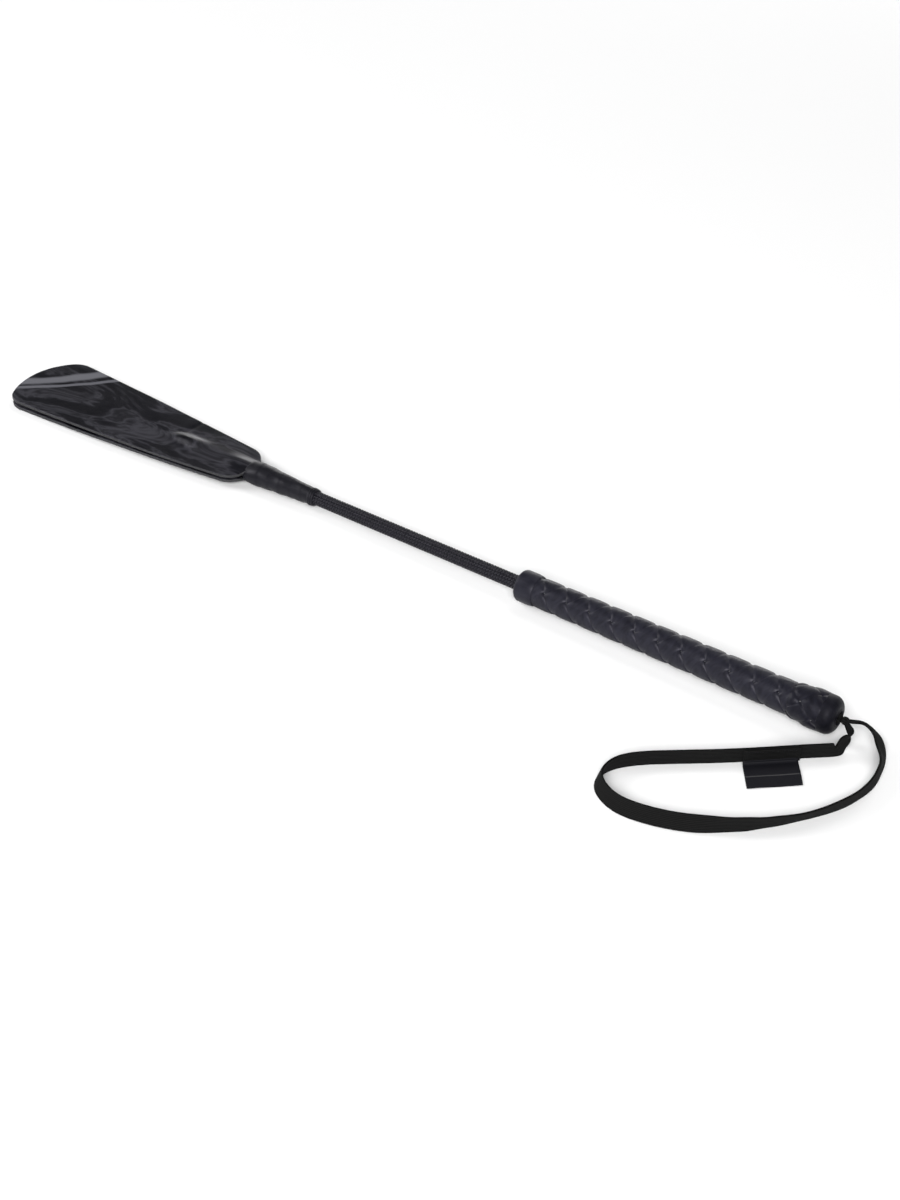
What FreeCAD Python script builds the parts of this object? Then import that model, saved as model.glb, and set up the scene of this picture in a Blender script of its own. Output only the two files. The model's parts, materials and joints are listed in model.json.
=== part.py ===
"""Riding crop: a tapered rod in a braided sleeve, a plaited handle, two leather leaves and a wrist strap.

Units are millimetres. The crop is built along its own axis, from station 0 at the tip of the leaves to the
butt, and is then laid on the ground plane z = 0, where it rests on its front collar and on the leaves' tip.
+X points to the butt, +Y across, +Z up. The wrist strap lies on the ground beside the handle, on the -Y side.
"""
import FreeCAD, Part
import math
import os
from FreeCAD import Vector

# ---------------------------------------------------------------- driving dimensions
LENGTH = 612.5                   # leaf tip to butt face

LEAF_THICK = 2.0
LEAF_GAP = 1.4                   # between the two leaves where they are clamped
LEAF_SPLAY = 0.3                 # degrees that each leaf stands away from the middle plane
LEAF_END = 197.5                 # station of the leaves' straight root edge
ROOT_HALF_WIDTH = 7.0            # half length of the straight root edge
TIP_ARC_MIDDLE = (0.3, -1.0)     # station and y, half way round the tip's shallow arc
# Each side of a leaf as station and distance from the middle: the arc at the tip's corner (start, middle,
# end), the middle of the long side, and the arc at the root's corner (start, middle). The tip is cut a
# little askew, so its two corners differ.
FAR_SIDE = ((13.2, 26.0), (18.2, 28.9), (26.0, 29.8), (102.5, 25.0), (185.5, 17.4), (193.7, 13.2))
NEAR_SIDE = ((4.4, 21.8), (9.2, 28.0), (17.8, 30.2), (102.5, 25.7), (185.5, 17.8), (193.7, 13.4))
FLEX_STATION = 124.0             # the leaves bend here, just past the end of the rod
FLEX_CLEARANCE = 0.3
LEAF_MARGIN = 80.0               # wider than any leaf, for the boxes that divide it

ROD_START, ROD_END = 136.0, 596.0
ROD_TIP_RADIUS, ROD_BUTT_RADIUS = 2.0, 3.3
BRAID_START, BRAID_END = 227.0, 422.0
BRAID_RADIUS = 4.4

# The ridge that the leaves make over the rod, as station, half width and half height.
RIDGE = ((130.0, 4.6, 2.9), (143.0, 6.6, 4.6), (198.5, 8.0, 5.1), (226.9, 5.6, 5.0))

BINDING_START, BINDING_END = 198.5, 246.5
BINDING_WIDE = (9.0, 5.9)        # half width and half height at the leaves
BINDING_MIDDLE = (7.1, 5.8)
BINDING_NARROW = 5.4             # radius at the shaft
RING_END = 251.0
RING_RADIUS = 6.0
RING_LIP = 0.4                   # how far the ring stands off the braid at its shaft end

COLLAR_START, COLLAR_END = 405.0, 417.5
COLLAR_RADIUS = 9.75
COLLAR_WALL = 0.45
COLLAR_FRONT_WALL = 1.6
COLLAR_ROUNDING = 2.2
WHIPPING_THICK = 0.3
WHIPPING_INSET = 1.0
HANDLE_FRONT_RADIUS, HANDLE_REAR_RADIUS = 9.0, 9.5
PLAIT_THICK = 1.7
HANDLE_END = 583.0

KNOB_THROAT = (589.0, 10.5)      # station and radius along the knob's flare
KNOB_WIDEST = (598.0, 11.4)
KNOB_COVER_THICK = 1.2
KNOB_COVER_END = 604.0
CAP_THICK = 3.0
CAP_HOLE_RADIUS = 4.0
CAP_ROUNDING = 5.0
CAP_RIM_STEP = 0.2               # how much smaller the cap is than the knob's widest place
CAP_BEVEL = 4.0                  # how far the inside of the cap closes in towards its face

ANCHOR_STATION = 601.0
ANCHOR_RADIUS = 1.2
ANCHOR_LENGTH = 15.0
ANCHOR_REACH = 3.6               # how far in front of the pin's middle the strap's bore starts
ANCHOR_CLEARANCE = 0.2
STRAP_BUNCH_RADIUS = 3.6         # the doubled strap where it is drawn through the cap
STRAP_BUNCH_PROUD = 0.8          # how far the doubled strap stands out of the cap
NECK_RADIUS = 2.4
NECK_CLEARANCE = 0.3

STRAP_WIDTH = 10.0
STRAP_THICK = 1.5
STRAP_ROUTE = [                  # middle of the strap on the ground plane, from the neck round to the neck
    (312.0, 1.5, 12.7), (318.8, 7.0, 11.5), (329.5, 3.2, 8.3), (336.3, -6.5, 6.2), (339.8, -18.0, 5.2),
    (340.6, -31.0, 5.05), (336.0, -49.3, 5.05), (322.3, -72.0, 5.05), (301.3, -94.0, 5.05),
    (277.3, -109.5, 5.05), (255.3, -117.3, 5.05), (236.8, -119.0, 5.05), (221.3, -110.0, 5.05),
    (220.8, -96.0, 5.05), (229.8, -83.4, 5.05), (249.5, -68.0, 5.05), (271.0, -51.3, 5.05),
    (300.6, -25.4, 5.05), (311.0, -15.8, 5.2), (316.6, -10.0, 7.4), (315.6, -4.2, 10.6), (312.2, -1.4, 12.4),
]
OVERLAP_RUN = (16, 17)           # the run of the route along which the strap's two ends are sewn together
OVERLAP_LENGTH = 31.0
STITCH_DIAMETER = 0.5
STITCH_PITCH = 3.0
STITCH_LENGTH = 1.8
STITCH_SINK = 0.15               # how far a stitch is pulled into the tape
STITCH_INSET = 1.4
LABEL_LENGTH, LABEL_DEPTH, LABEL_THICK = 30.0, 17.3, 1.0
LABEL_FLOOR_GAP = 0.1
LAYER_GAP = 0.2
SMALL_GAP = 0.05                 # between nested pieces of the same body

# ---------------------------------------------------------------- worked out from the driving dimensions
LEAF_BOTTOM = LEAF_GAP / 2 + LEAF_THICK + FLEX_STATION * math.sin(math.radians(LEAF_SPLAY))
REST_STATION = COLLAR_START + COLLAR_ROUNDING
TILT = math.atan((COLLAR_RADIUS - LEAF_BOTTOM) / REST_STATION)
MIDDLE = LENGTH / 2
AXIS_HEIGHT = COLLAR_RADIUS / math.cos(TILT) - (REST_STATION - MIDDLE) * math.tan(TILT)
CAP_FACE = LENGTH
NECK_STATION = CAP_FACE + STRAP_BUNCH_PROUD + NECK_CLEARANCE + NECK_RADIUS

ALONG = Vector(1, 0, 0)
ACROSS = Vector(0, 1, 0)
UP = Vector(0, 0, 1)


def placed(shape):
    """Move a shape from the crop's own axis, where x is the station, to where it lies on the ground."""
    moved = shape.copy()
    moved.translate(Vector(-MIDDLE, 0, 0))
    moved.rotate(Vector(0, 0, 0), ACROSS, -math.degrees(TILT))
    moved.translate(Vector(0, 0, AXIS_HEIGHT))
    return moved


def ground_point(station, height=0.0):
    """Where a point above the crop's axis lies, once the crop is on the ground."""
    return placed(Part.Vertex(station, 0, height)).Point


def handle_radius(station):
    share = (station - COLLAR_START) / (HANDLE_END - COLLAR_START)
    return HANDLE_FRONT_RADIUS + share * (HANDLE_REAR_RADIUS - HANDLE_FRONT_RADIUS)


def cylinder(radius, start, end):
    return Part.makeCylinder(radius, end - start, Vector(start, 0, 0), ALONG)


def cone(start_radius, end_radius, start, end):
    return Part.makeCone(start_radius, end_radius, end - start, Vector(start, 0, 0), ALONG)


def rod_solid(extra=0.0):
    return cone(ROD_TIP_RADIUS + extra, ROD_BUTT_RADIUS + extra, ROD_START, ROD_END)


def line(start, end):
    return Part.LineSegment(start, end).toShape()


def arc(start, middle, end):
    return Part.Arc(start, middle, end).toShape()


def turned(outline):
    """Turn a closed outline of (station, radius) corners about the axis. A corner with a third value is the
    middle of an arc from the corner before it to the corner after it."""
    edges = []
    count = len(outline)
    index = 0
    while index < count:
        here = outline[index]
        following = outline[(index + 1) % count]
        start = Vector(here[0], 0, here[1])
        if len(following) == 3:
            end = outline[(index + 2) % count]
            middle = Vector(following[0], 0, following[1])
            edges.append(arc(start, middle, Vector(end[0], 0, end[1])))
            index += 2
        else:
            edges.append(line(start, Vector(following[0], 0, following[1])))
            index += 1
    return Part.Face(Part.Wire(edges)).revolve(Vector(0, 0, 0), ALONG, 360)


def oval(station, half_width, half_height):
    """An oval wire across the axis. Its seam is always at an end of its longer width, where lofts need it."""
    long_axis, short_axis = (ACROSS, UP) if half_width >= half_height else (UP, ACROSS)
    ends = sorted((half_width, half_height), reverse=True)
    centre = Vector(station, 0, 0)
    ellipse = Part.Ellipse(centre + long_axis * ends[0], centre + short_axis * ends[1], centre)
    return Part.Wire([ellipse.toShape()])


def loft(wires):
    return Part.makeLoft(wires, True)


# ---------------------------------------------------------------- leaves
def leaf_outline():
    """The leaf's outline in plan: a shallow arc at the tip, two long sides and a narrow rounded root."""
    edges = []
    ends = []
    for side, places in ((1, FAR_SIDE), (-1, NEAR_SIDE)):
        corner = [Vector(station, side * width, 0) for station, width in places]
        root_corner = Vector(LEAF_END, side * ROOT_HALF_WIDTH, 0)
        edges.append(arc(corner[0], corner[1], corner[2]))
        edges.append(arc(corner[2], corner[3], corner[4]))
        edges.append(arc(corner[4], corner[5], root_corner))
        ends.append((corner[0], root_corner))
    (far_tip, far_root), (near_tip, near_root) = ends
    edges.append(arc(far_tip, Vector(*TIP_ARC_MIDDLE, 0), near_tip))
    edges.append(line(far_root, near_root))
    return Part.Wire(Part.__sortEdges__(edges))


def leaf_plate(side):
    """The whole flat leaf, above the middle plane for side 1 and below it for side -1."""
    plate = Part.Face(leaf_outline()).extrude(UP * LEAF_THICK)
    plate.translate(UP * (LEAF_GAP / 2))
    return plate if side > 0 else plate.mirror(Vector(0, 0, 0), UP)


def half_space(side, start, end):
    box = Part.makeBox(end - start, LEAF_MARGIN, LEAF_MARGIN, Vector(start, -LEAF_MARGIN / 2, 0))
    return box if side > 0 else box.mirror(Vector(0, 0, 0), UP)


def flex_height(side):
    return side * (LEAF_GAP / 2 + LEAF_THICK / 2)


def leaf_blade(side):
    """The free part of a leaf. Its inner end is a half round about the flex line, so it turns freely."""
    height = flex_height(side)
    flat = leaf_plate(side)
    blade = flat.common(half_space(side, -1, FLEX_STATION))
    at_flex = flat.common(half_space(side, FLEX_STATION, FLEX_STATION + 0.1)).optimalBoundingBox()
    roll_start = Vector(FLEX_STATION, at_flex.YMin, height)
    roll = Part.makeCylinder(LEAF_THICK / 2, at_flex.YLength, roll_start, ACROSS)
    blade = blade.fuse(roll).removeSplitter()
    blade.rotate(Vector(FLEX_STATION, 0, height), ACROSS, side * LEAF_SPLAY)
    return blade


def leaf_root(side):
    """The clamped part of a leaf: flat wings, a ridge over the rod, and a tongue under the binding."""
    start = FLEX_STATION + LEAF_THICK / 2 + FLEX_CLEARANCE
    wings = leaf_plate(side).common(half_space(side, start, LEAF_END + 1))
    ridge = loft([oval(*place) for place in RIDGE]).common(half_space(side, RIDGE[0][0], BRAID_START))
    middle = Part.makeBox(BRAID_START, LEAF_MARGIN, 2 * SMALL_GAP, Vector(0, -LEAF_MARGIN / 2, -SMALL_GAP))
    return wings.fuse(ridge).removeSplitter().cut(rod_solid(SMALL_GAP)).cut(middle)


# ---------------------------------------------------------------- rod, braid and binding
def core_rod():
    return rod_solid()


def shaft_braid():
    return cylinder(BRAID_RADIUS, BRAID_START, BRAID_END).cut(rod_solid(SMALL_GAP))


def root_binding():
    middle = (BINDING_START + BINDING_END) / 2
    outside = loft([oval(BINDING_START, *BINDING_WIDE), oval(middle, *BINDING_MIDDLE),
                    oval(BINDING_END, BINDING_NARROW + 0.01, BINDING_NARROW)])
    for inner in (leaf_root(1), leaf_root(-1), cylinder(BRAID_RADIUS, BRAID_START, BINDING_END + 1)):
        outside = outside.cut(inner)
    widest_tongue = RIDGE[2][1]
    middle_gap = Part.makeBox(BRAID_START - BINDING_START, 2 * widest_tongue, 2 * SMALL_GAP,
                              Vector(BINDING_START, -widest_tongue, -SMALL_GAP))
    return outside.cut(middle_gap).cut(rod_solid(SMALL_GAP))


def binding_ring():
    start = BINDING_END + SMALL_GAP
    middle = (start + RING_END) / 2
    return turned([(start, BRAID_RADIUS + SMALL_GAP), (start, BINDING_NARROW),
                   (middle, RING_RADIUS, "arc"), (RING_END, BRAID_RADIUS + RING_LIP),
                   (RING_END, BRAID_RADIUS + SMALL_GAP)])


# ---------------------------------------------------------------- handle
def handle_core():
    """The moulded filler that thickens the rod. Its front end also holds the end of the braid."""
    start = COLLAR_START + COLLAR_FRONT_WALL + SMALL_GAP
    inset = PLAIT_THICK + SMALL_GAP
    body = cone(handle_radius(start) - inset, handle_radius(HANDLE_END) - inset, start, HANDLE_END)
    return body.cut(cylinder(BRAID_RADIUS + SMALL_GAP, start - 1, BRAID_END + 1)).cut(rod_solid(SMALL_GAP))


def handle_plait():
    """The leather plait as a tapered sleeve, drawn in a little at the front under the whipping."""
    start = COLLAR_START + COLLAR_FRONT_WALL + SMALL_GAP
    front = min(handle_radius(start), COLLAR_RADIUS - COLLAR_WALL - WHIPPING_THICK) - 3 * SMALL_GAP
    body = cone(front, HANDLE_REAR_RADIUS, start, HANDLE_END)
    inner = cone(handle_radius(start) - PLAIT_THICK, HANDLE_REAR_RADIUS - PLAIT_THICK, start, HANDLE_END)
    return body.cut(inner)


def front_whipping():
    """The waxed thread that ties the plait's front ends down, under the collar."""
    start = COLLAR_START + COLLAR_FRONT_WALL + WHIPPING_INSET
    end = COLLAR_END - WHIPPING_INSET
    outer = COLLAR_RADIUS - COLLAR_WALL - SMALL_GAP
    return cylinder(outer, start, end).cut(cylinder(outer - WHIPPING_THICK, start - 1, end + 1))


def front_collar():
    """A leather cup: a rounded front wall round the shaft and a thin skirt over the plait's end."""
    outer = COLLAR_RADIUS
    inner = outer - COLLAR_WALL
    front = COLLAR_START + COLLAR_FRONT_WALL
    soft = COLLAR_ROUNDING
    diagonal = soft * (1 - math.sqrt(0.5))
    return turned([(COLLAR_START, BRAID_RADIUS + SMALL_GAP), (COLLAR_START, outer - soft),
                   (COLLAR_START + diagonal, outer - diagonal, "arc"), (COLLAR_START + soft, outer),
                   (COLLAR_END, outer), (COLLAR_END, inner), (front, inner),
                   (front, BRAID_RADIUS + SMALL_GAP)])


# ---------------------------------------------------------------- knob, cap and anchor
def knob_core():
    """The moulded knob behind the handle. It holds the rod's end, the anchor pin and the strap's root."""
    thick = KNOB_COVER_THICK + SMALL_GAP
    start = HANDLE_END + SMALL_GAP
    end = CAP_FACE - CAP_THICK - SMALL_GAP
    rim = KNOB_WIDEST[1] - CAP_RIM_STEP
    body = turned([(start, 0), (start, HANDLE_REAR_RADIUS - thick), (KNOB_THROAT[0], KNOB_THROAT[1] - thick),
                   (KNOB_WIDEST[0], KNOB_WIDEST[1] - thick), (KNOB_COVER_END, rim - thick),
                   (end, rim - thick - CAP_BEVEL), (end, 0)])
    bore = cylinder(STRAP_BUNCH_RADIUS + ANCHOR_CLEARANCE, ANCHOR_STATION - ANCHOR_REACH, end + 1)
    pin_hole = Part.makeCylinder(ANCHOR_RADIUS, ANCHOR_LENGTH,
                                 Vector(ANCHOR_STATION, -ANCHOR_LENGTH / 2, 0), ACROSS)
    return body.cut(rod_solid(SMALL_GAP)).cut(bore).cut(pin_hole)


def knob_cover():
    """The leather plait over the knob."""
    thick = KNOB_COVER_THICK
    rim = KNOB_WIDEST[1] - CAP_RIM_STEP
    start = HANDLE_END + SMALL_GAP
    return turned([(start, HANDLE_REAR_RADIUS - thick), (start, HANDLE_REAR_RADIUS), KNOB_THROAT, KNOB_WIDEST,
                   (KNOB_COVER_END, rim), (KNOB_COVER_END, rim - thick),
                   (KNOB_WIDEST[0], KNOB_WIDEST[1] - thick), (KNOB_THROAT[0], KNOB_THROAT[1] - thick)])


def butt_cap():
    """The rounded end cap with the strap's hole in its middle."""
    start = KNOB_COVER_END + SMALL_GAP
    rim = KNOB_WIDEST[1] - CAP_RIM_STEP
    inner_face = CAP_FACE - CAP_THICK
    soft = CAP_ROUNDING
    diagonal = soft * (1 - math.sqrt(0.5))
    cap = turned([(start, 0), (start, rim), (CAP_FACE - soft, rim),
                  (CAP_FACE - diagonal, rim - diagonal, "arc"), (CAP_FACE, rim - soft), (CAP_FACE, 0)])
    hollow = turned([(start - 1, 0), (start - 1, rim - KNOB_COVER_THICK), (start, rim - KNOB_COVER_THICK),
                     (inner_face, rim - KNOB_COVER_THICK - CAP_BEVEL), (inner_face, 0)])
    return cap.cut(hollow).cut(cylinder(CAP_HOLE_RADIUS, start, CAP_FACE + 1))


def strap_anchor_pin():
    length = ANCHOR_LENGTH - 2 * SMALL_GAP
    return Part.makeCylinder(ANCHOR_RADIUS, length, Vector(ANCHOR_STATION, -length / 2, 0), ACROSS)


def strap_root():
    """The doubled strap, looped round the anchor pin and drawn out through the cap."""
    start = ANCHOR_STATION - ANCHOR_REACH + ANCHOR_CLEARANCE
    bunch = cylinder(STRAP_BUNCH_RADIUS, start, CAP_FACE + STRAP_BUNCH_PROUD)
    pin = Part.makeCylinder(ANCHOR_RADIUS + SMALL_GAP, ANCHOR_LENGTH,
                            Vector(ANCHOR_STATION, -ANCHOR_LENGTH / 2, 0), ACROSS)
    return bunch.cut(pin)


# ---------------------------------------------------------------- wrist strap
def strap_neck():
    """The pinched bend just outside the cap, where the strap pivots."""
    return Part.makeSphere(NECK_RADIUS, ground_point(NECK_STATION))


def rounded_path(points):
    """Straight runs joined by tangent arcs, each as large as its two runs allow. Returns wire and radii."""
    corners = []
    radii = []
    for before, corner, after in zip(points, points[1:], points[2:]):
        back = before - corner
        on = after - corner
        shorter = min(back.Length, on.Length)
        turn = math.pi - back.getAngle(on)
        reach = 0.45 * shorter
        radius = reach / math.tan(turn / 2)
        back.normalize()
        on.normalize()
        inward = (back + on).normalize()
        depth = radius / math.cos(turn / 2) - radius
        corners.append((corner + back * reach, corner + inward * depth, corner + on * reach))
        radii.append(radius)
    edges = []
    here = points[0]
    for start, middle, end in corners:
        edges.append(line(here, start))
        edges.append(arc(start, middle, end))
        here = end
    edges.append(line(here, points[-1]))
    return Part.Wire(edges), radii


def wrist_strap():
    """A flat strap that stands on its edge, swept along its route."""
    points = [Vector(*place) for place in STRAP_ROUTE]
    path, radii = rounded_path(points)
    direction = (points[1] - points[0]).normalize()
    sideways = UP.cross(direction).normalize()
    half_thick = sideways * (STRAP_THICK / 2)
    half_width = UP * (STRAP_WIDTH / 2)
    corners = [points[0] + half_thick + half_width, points[0] - half_thick + half_width,
               points[0] - half_thick - half_width, points[0] + half_thick - half_width]
    section = Part.Wire([line(corners[i], corners[(i + 1) % 4]) for i in range(4)])
    sweep = Part.BRepOffsetAPI.MakePipeShell(path)
    sweep.setBiNormalMode(UP)
    sweep.add(section)
    sweep.build()
    sweep.makeSolid()
    strap = sweep.shape()
    print("strap path", round(path.Length, 1), "mm, radii", [round(radius, 1) for radius in radii])
    print("strap volume", round(strap.Volume, 1), "section x length",
          round(path.Length * STRAP_WIDTH * STRAP_THICK, 1))
    return strap


def overlap_frame():
    """Centre, direction and inward side of the run on which the strap's ends are sewn together."""
    start, end = (Vector(*STRAP_ROUTE[index]) for index in OVERLAP_RUN)
    direction = (end - start).normalize()
    side = direction.cross(UP)
    return (start + end) / 2, direction, side


def bar(centre, direction, side, length, depth, height):
    """A box with its length along a direction, centred on a point."""
    box = Part.makeBox(length, depth, height, Vector(-length / 2, -depth / 2, -height / 2))
    turn = FreeCAD.Rotation(direction, side * -1, UP, "XYZ")
    box.Placement = FreeCAD.Placement(centre, turn)
    return box


def overlap_depth():
    """How far the middle of the second layer of strap lies from the middle of the first."""
    return STRAP_THICK + LAYER_GAP


def strap_overlap():
    centre, direction, side = overlap_frame()
    return bar(centre + side * overlap_depth(), direction, side, OVERLAP_LENGTH, STRAP_THICK, STRAP_WIDTH)


def overlap_stitches():
    """Two rows of thread on the face of the overlap, as short separate stitches."""
    centre, direction, side = overlap_frame()
    face = centre + side * (overlap_depth() + STRAP_THICK / 2 + STITCH_DIAMETER / 2 - STITCH_SINK)
    count = int((OVERLAP_LENGTH - 2 * STITCH_INSET) / STITCH_PITCH)
    stitches = []
    for row in (-1, 1):
        height = UP * row * (STRAP_WIDTH / 2 - STITCH_INSET)
        for index in range(count):
            place = face + height + direction * ((index - (count - 1) / 2) * STITCH_PITCH)
            stitches.append(bar(place, direction, side, STITCH_LENGTH, STITCH_DIAMETER, STITCH_DIAMETER))
    return Part.Compound(stitches)


def label_hinge():
    """A point on the label's sewn edge, the edge's direction and the way that the label points."""
    centre, direction, side = overlap_frame()
    away = overlap_depth() + STRAP_THICK / 2 + STITCH_DIAMETER + LAYER_GAP + LABEL_THICK / 2
    edge = centre + side * away
    edge.z = LABEL_FLOOR_GAP + LABEL_THICK / 2
    return edge, direction, side


def label():
    """A small folded label that lies on the ground, with a round sewn edge."""
    edge, direction, side = label_hinge()
    flap = bar(edge + side * (LABEL_DEPTH / 2), direction, side, LABEL_LENGTH, LABEL_DEPTH, LABEL_THICK)
    roll = Part.makeCylinder(LABEL_THICK / 2, LABEL_LENGTH, edge - direction * (LABEL_LENGTH / 2), direction)
    return flap.fuse(roll).removeSplitter()


# ---------------------------------------------------------------- output
NODES_ON_THE_AXIS = {
    "core_rod": core_rod,
    "shaft_braid": shaft_braid,
    "root_binding": root_binding,
    "binding_ring": binding_ring,
    "upper_leaf_root": lambda: leaf_root(1),
    "lower_leaf_root": lambda: leaf_root(-1),
    "upper_leaf": lambda: leaf_blade(1),
    "lower_leaf": lambda: leaf_blade(-1),
    "handle_core": handle_core,
    "handle_plait": handle_plait,
    "front_whipping": front_whipping,
    "front_collar": front_collar,
    "knob_core": knob_core,
    "knob_cover": knob_cover,
    "butt_cap": butt_cap,
    "strap_anchor_pin": strap_anchor_pin,
    "strap_root": strap_root,
}
NODES_ON_THE_GROUND = {
    "strap_neck": strap_neck,
    "wrist_strap": wrist_strap,
    "strap_overlap": strap_overlap,
    "overlap_stitches": overlap_stitches,
    "label": label,
}


def main():
    os.makedirs("parts", exist_ok=True)
    shapes = {name: placed(make()) for name, make in NODES_ON_THE_AXIS.items()}
    shapes.update({name: make() for name, make in NODES_ON_THE_GROUND.items()})
    for name, shape in shapes.items():
        shape.exportStep("parts/" + name + ".step")
        box = shape.optimalBoundingBox()
        print(f"{name:18s} solids {len(shape.Solids)} valid {shape.isValid()} volume {shape.Volume:9.1f}",
              f"x {box.XMin:7.1f} {box.XMax:7.1f}",
              f"y {box.YMin:7.1f} {box.YMax:6.1f}",
              f"z {box.ZMin:6.2f} {box.ZMax:6.2f}")
    edge, direction, side = label_hinge()
    print("tilt", round(math.degrees(TILT), 3), "degrees, butt centre", ground_point(LENGTH))
    print("flex line, upper", ground_point(FLEX_STATION, flex_height(1)))
    print("flex line, lower", ground_point(FLEX_STATION, flex_height(-1)))
    print("neck", ground_point(NECK_STATION))
    print("label hinge", edge, "along", direction, "towards", side)


main()
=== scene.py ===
"""The looks of the riding crop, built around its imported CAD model. Metres, in the CAD's own frame."""
import json
import math
from dataclasses import dataclass
import bmesh
import bpy
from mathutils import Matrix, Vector, geometry, noise


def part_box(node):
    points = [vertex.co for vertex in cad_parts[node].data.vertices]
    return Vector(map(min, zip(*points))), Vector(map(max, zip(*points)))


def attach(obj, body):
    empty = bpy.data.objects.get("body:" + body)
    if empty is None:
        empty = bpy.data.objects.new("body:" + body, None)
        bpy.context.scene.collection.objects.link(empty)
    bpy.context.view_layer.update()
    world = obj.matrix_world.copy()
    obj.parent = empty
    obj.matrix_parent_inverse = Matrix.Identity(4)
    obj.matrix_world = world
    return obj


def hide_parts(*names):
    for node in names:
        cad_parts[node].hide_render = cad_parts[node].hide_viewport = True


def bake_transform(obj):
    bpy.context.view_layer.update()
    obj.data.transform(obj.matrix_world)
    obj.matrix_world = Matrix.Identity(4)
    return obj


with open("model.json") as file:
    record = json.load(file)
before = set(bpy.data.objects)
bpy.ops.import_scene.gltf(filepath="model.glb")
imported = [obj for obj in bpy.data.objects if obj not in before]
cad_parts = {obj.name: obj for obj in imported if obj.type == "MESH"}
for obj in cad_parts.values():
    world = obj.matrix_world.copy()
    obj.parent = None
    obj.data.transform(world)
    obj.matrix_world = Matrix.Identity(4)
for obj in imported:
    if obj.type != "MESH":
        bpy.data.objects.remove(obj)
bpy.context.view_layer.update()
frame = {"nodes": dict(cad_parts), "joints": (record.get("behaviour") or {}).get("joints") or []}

MM = 0.001

# ---------------- camera
CAMERA_AIM = Vector((0.06678, -0.02665, 0.0))
CAMERA_DISTANCE = 1.14611
CAMERA_AZIMUTH = math.radians(36.056)
CAMERA_ELEVATION = math.radians(38.237)
CAMERA_LENS = 58.288


def add_camera():
    data = bpy.data.cameras.new("camera")
    data.lens = CAMERA_LENS
    data.sensor_width = 36
    camera = bpy.data.objects.new("camera", data)
    bpy.context.collection.objects.link(camera)
    level = math.cos(CAMERA_ELEVATION)
    forward = Vector((-math.sin(CAMERA_AZIMUTH) * level, math.cos(CAMERA_AZIMUTH) * level,
                      -math.sin(CAMERA_ELEVATION)))
    camera.location = CAMERA_AIM - forward * CAMERA_DISTANCE
    camera.rotation_euler = forward.to_track_quat("-Z", "Y").to_euler()
    bpy.context.scene.camera = camera


add_camera()


# ---------------- mesh helpers
class Build:
    """Collects points, faces and flat coordinates, then makes one named piece of them."""

    def __init__(self):
        self.points = []
        self.flat = []
        self.faces = []
        self.look_of_face = []

    def skin(self, loops, flats=None, look=0, round_closed=False):
        """Join closed loops of points one after another, and cap both ends unless it closes on itself."""
        first = len(self.points)
        size = len(loops[0])
        for row, loop in enumerate(loops):
            self.points.extend(loop)
            self.flat.extend(flats[row] if flats else loop)
        for row in range(len(loops) if round_closed else len(loops) - 1):
            here = first + row * size
            after = first + (row + 1) % len(loops) * size
            for i in range(size):
                j = (i + 1) % size
                self.add_face([here + i, here + j, after + j, after + i], look)
        if not round_closed:
            last = first + (len(loops) - 1) * size
            self.add_face(list(range(first + size - 1, first - 1, -1)), look)
            self.add_face(list(range(last, last + size)), look)

    def add_face(self, corners, look=0):
        self.faces.append(corners)
        self.look_of_face.append(look)

    def piece(self, name, looks, body, replaced, blended=None):
        mesh = bpy.data.meshes.new(name)
        mesh.from_pydata(self.points, [], self.faces)
        for look in looks:
            mesh.materials.append(look)
        mesh.polygons.foreach_set("material_index", self.look_of_face)
        flat = mesh.attributes.new("flat", "FLOAT_VECTOR", "POINT")
        flat.data.foreach_set("vector", [value for place in self.flat for value in place])
        shape = bmesh.new()
        shape.from_mesh(mesh)
        bmesh.ops.recalc_face_normals(shape, faces=shape.faces)
        for face in shape.faces:
            face.smooth = True
        shape.to_mesh(mesh)
        shape.free()
        obj = bpy.data.objects.new(name, mesh)
        bpy.context.collection.objects.link(obj)
        if blended:
            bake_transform(obj)
        else:
            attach(obj, body)
        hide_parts(*replaced)
        return obj


def smooth_step(start, end, value):
    share = min(1.0, max(0.0, (value - start) / (end - start)))
    return share * share * (3 - 2 * share)


def along_keys(keys, value):
    """Smoothly between (place, amount) pairs."""
    if value <= keys[0][0]:
        return keys[0][1]
    for (start, low), (end, high) in zip(keys, keys[1:]):
        if value <= end:
            return low + (high - low) * smooth_step(start, end, value)
    return keys[-1][1]


# ---------------- the crop's axis
def middle_of(node):
    low, high = (Vector(corner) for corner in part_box(node))
    return (low + high) / 2


PIN_STATION = 601.0
pin_place = middle_of("strap_anchor_pin")
ALONG = (pin_place - middle_of("front_whipping")).normalized()
ACROSS = Vector((0, 1, 0))
RAISED = ALONG.cross(ACROSS)


def at(station, across=0.0, height=0.0):
    """The place of a point given along the crop's axis, in millimetres from the leaves' tip."""
    return pin_place + (ALONG * (station - PIN_STATION) + ACROSS * across + RAISED * height) * MM


def turns_round(count):
    """Evenly spaced angles round a circle."""
    return [2 * math.pi * i / count for i in range(count)]


def ring(station, radius, count):
    return [at(station, radius * math.cos(turn), radius * math.sin(turn)) for turn in turns_round(count)]


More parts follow.
